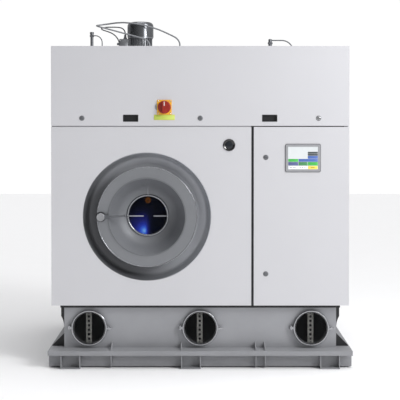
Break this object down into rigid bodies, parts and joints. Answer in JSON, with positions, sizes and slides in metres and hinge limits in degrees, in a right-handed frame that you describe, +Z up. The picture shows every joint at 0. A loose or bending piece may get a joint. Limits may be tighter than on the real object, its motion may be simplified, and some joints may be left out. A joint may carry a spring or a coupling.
{
  "type": "dry cleaning machine",
  "caption": "Closed-circuit dry cleaning machine: folded steel cabinet on a solvent tank and drip tray, round glazed loading door, control door, lift-up flap and roof fan motor.",
  "frame": {"origin": "centre of the machine's footprint, on the floor under the foot brackets", "axes": "+Z up; -Y out of the front with the loading door; +X to the control door's side"},
  "size_m": [1.82, 1.4, 2.126],
  "materials": {
    "panel_paint": "satin light grey",
    "grey_paint": "satin mid grey",
    "black_paint": "satin black",
    "frame_paint": "satin dark grey",
    "stainless": "brushed",
    "dark_steel": "brushed, darker",
    "bright_steel": "polished",
    "galvanised": "zinc grey",
    "cast_grey": "painted casting",
    "motor_paint": "satin grey",
    "pump_paint": "blue-grey enamel",
    "black_rubber": "matt black",
    "black_plastic": "fine-grained black",
    "grey_plastic": "satin grey",
    "box_plastic": "equipment grey",
    "yellow_plastic": "yellow",
    "red_plastic": "red",
    "blue_plastic": "blue lens",
    "cord_grey": "grey sheath",
    "cord_black": "black sheath",
    "screen": "lit touch panel",
    "window_glass": "clear, dark inside",
    "port_glass": "dark glass",
    "brass": "plain brass"
  },
  "bodies": {
    "machine": {"drip_tray": "grey_paint", "foot_brackets": "grey_paint", "tank_shell": "stainless", "tank_front": "stainless", "base_frame": "black_paint", "level_gauges": "stainless", "cabinet_frame": "frame_paint", "front_panel": "panel_paint", "side_panels": "panel_paint", "rear_panel": "panel_paint", "roof_panel": "panel_paint", "sight_port": "black_plastic", "door_collar": "stainless", "door_seal": "black_rubber", "hinge_and_keeper": "dark_steel", "drum_shell": "stainless", "bearing_housing": "cast_grey", "drive_motor": "motor_paint", "drive_belt": "black_rubber", "drum_lamp": "blue_plastic", "fan_housing": "galvanised", "roof_motor": "motor_paint", "roof_motor_cowl": "black_plastic", "coil_box": "galvanised", "still_vessel": "stainless", "filter_vessel": "stainless", "solvent_pump": "pump_paint", "compressor": "black_paint", "electrical_box": "box_plastic", "solvent_pipes": "stainless", "roof_pipes": "dark_steel", "hose_loop": "cord_grey", "motor_cable": "cord_black"},
    "upper_flap": {"upper_flap": "panel_paint", "flap_grips": "black_plastic", "switch_plate": "yellow_plastic"},
    "switch_knob": {"switch_knob": "red_plastic"},
    "flap_lock_left": {"flap_lock_left": "dark_steel"},
    "flap_lock_middle": {"flap_lock_middle": "dark_steel"},
    "flap_lock_right": {"flap_lock_right": "bright_steel"},
    "control_door": {"control_door": "panel_paint", "display_bezel": "grey_plastic", "display_screen": "screen"},
    "control_lock_upper": {"control_lock_upper": "dark_steel"},
    "control_lock_lower": {"control_lock_lower": "dark_steel"},
    "loading_door": {"door_flange": "stainless", "door_bowl": "dark_steel", "door_glass": "window_glass", "spray_nozzle": "brass"},
    "latch_lever": {"latch_lever": "stainless"},
    "drum": {"drum_basket": "stainless", "drum_pulley": "cast_grey"},
    "motor_pulley": {"motor_pulley": "cast_grey"},
    "fan_impeller": {"fan_impeller": "galvanised"},
    "port_cover_left": {"port_cover_left": "stainless", "port_glass_left": "port_glass"},
    "port_cover_middle": {"port_cover_middle": "stainless", "port_glass_middle": "port_glass"},
    "port_cover_right": {"port_cover_right": "stainless", "port_glass_right": "port_glass"}
  },
  "joints": [
    {"name": "loading_door_hinge", "type": "hinge", "parent": "machine", "child": "loading_door", "pos_m": [-0.044, -0.625, 0.908], "axis": [0, 0, 1], "range_deg": [0, 110]},
    {"name": "door_latch", "type": "hinge", "parent": "loading_door", "child": "latch_lever", "pos_m": [-0.595, -0.66, 0.908], "axis": [0, 1, 0], "range_deg": [0, 90]},
    {"name": "drum_spin", "type": "hinge", "parent": "machine", "child": "drum", "pos_m": [-0.319, -0.045, 0.908], "axis": [0, 1, 0], "continuous": true},
    {"name": "motor_spin", "type": "hinge", "parent": "machine", "child": "motor_pulley", "pos_m": [-0.319, 0.18, 0.488], "axis": [0, 1, 0], "continuous": true},
    {"name": "fan_spin", "type": "hinge", "parent": "machine", "child": "fan_impeller", "pos_m": [-0.39, -0.1, 1.85], "axis": [0, 0, 1], "continuous": true},
    {"name": "upper_flap_hinge", "type": "hinge", "parent": "machine", "child": "upper_flap", "pos_m": [0, -0.632, 1.924], "axis": [-1, 0, 0], "range_deg": [0, 90]},
    {"name": "control_door_hinge", "type": "hinge", "parent": "machine", "child": "control_door", "pos_m": [0.887, -0.632, 0.9095], "axis": [0, 0, 1], "range_deg": [0, 110]},
    {"name": "flap_lock_left_turn", "type": "hinge", "parent": "upper_flap", "child": "flap_lock_left", "pos_m": [-0.71, -0.64, 1.499], "axis": [0, 1, 0], "range_deg": [0, 90]},
    {"name": "flap_lock_middle_turn", "type": "hinge", "parent": "upper_flap", "child": "flap_lock_middle", "pos_m": [0, -0.64, 1.499], "axis": [0, 1, 0], "range_deg": [0, 90]},
    {"name": "flap_lock_right_turn", "type": "hinge", "parent": "upper_flap", "child": "flap_lock_right", "pos_m": [0.71, -0.64, 1.499], "axis": [0, 1, 0], "range_deg": [0, 90]},
    {"name": "main_switch", "type": "hinge", "parent": "upper_flap", "child": "switch_knob", "pos_m": [-0.215, -0.643, 1.565], "axis": [0, 1, 0], "range_deg": [0, 90]},
    {"name": "control_lock_upper_turn", "type": "hinge", "parent": "control_door", "child": "control_lock_upper", "pos_m": [0.394, -0.64, 1.264], "axis": [0, 1, 0], "range_deg": [0, 90]},
    {"name": "control_lock_lower_turn", "type": "hinge", "parent": "control_door", "child": "control_lock_lower", "pos_m": [0.394, -0.64, 0.563], "axis": [0, 1, 0], "range_deg": [0, 90]},
    {"name": "port_cover_left_hinge", "type": "hinge", "parent": "machine", "child": "port_cover_left", "pos_m": [-0.793, -0.6128, 0.231], "axis": [0, 0, -1], "range_deg": [0, 100]},
    {"name": "port_cover_middle_hinge", "type": "hinge", "parent": "machine", "child": "port_cover_middle", "pos_m": [-0.122, -0.6128, 0.231], "axis": [0, 0, -1], "range_deg": [0, 100]},
    {"name": "port_cover_right_hinge", "type": "hinge", "parent": "machine", "child": "port_cover_right", "pos_m": [0.549, -0.6128, 0.231], "axis": [0, 0, -1], "range_deg": [0, 100]}
  ],
  "couplings": [
    {"joint": "motor_spin", "follows": "drum_spin", "ratio": 3.6667}
  ]
}
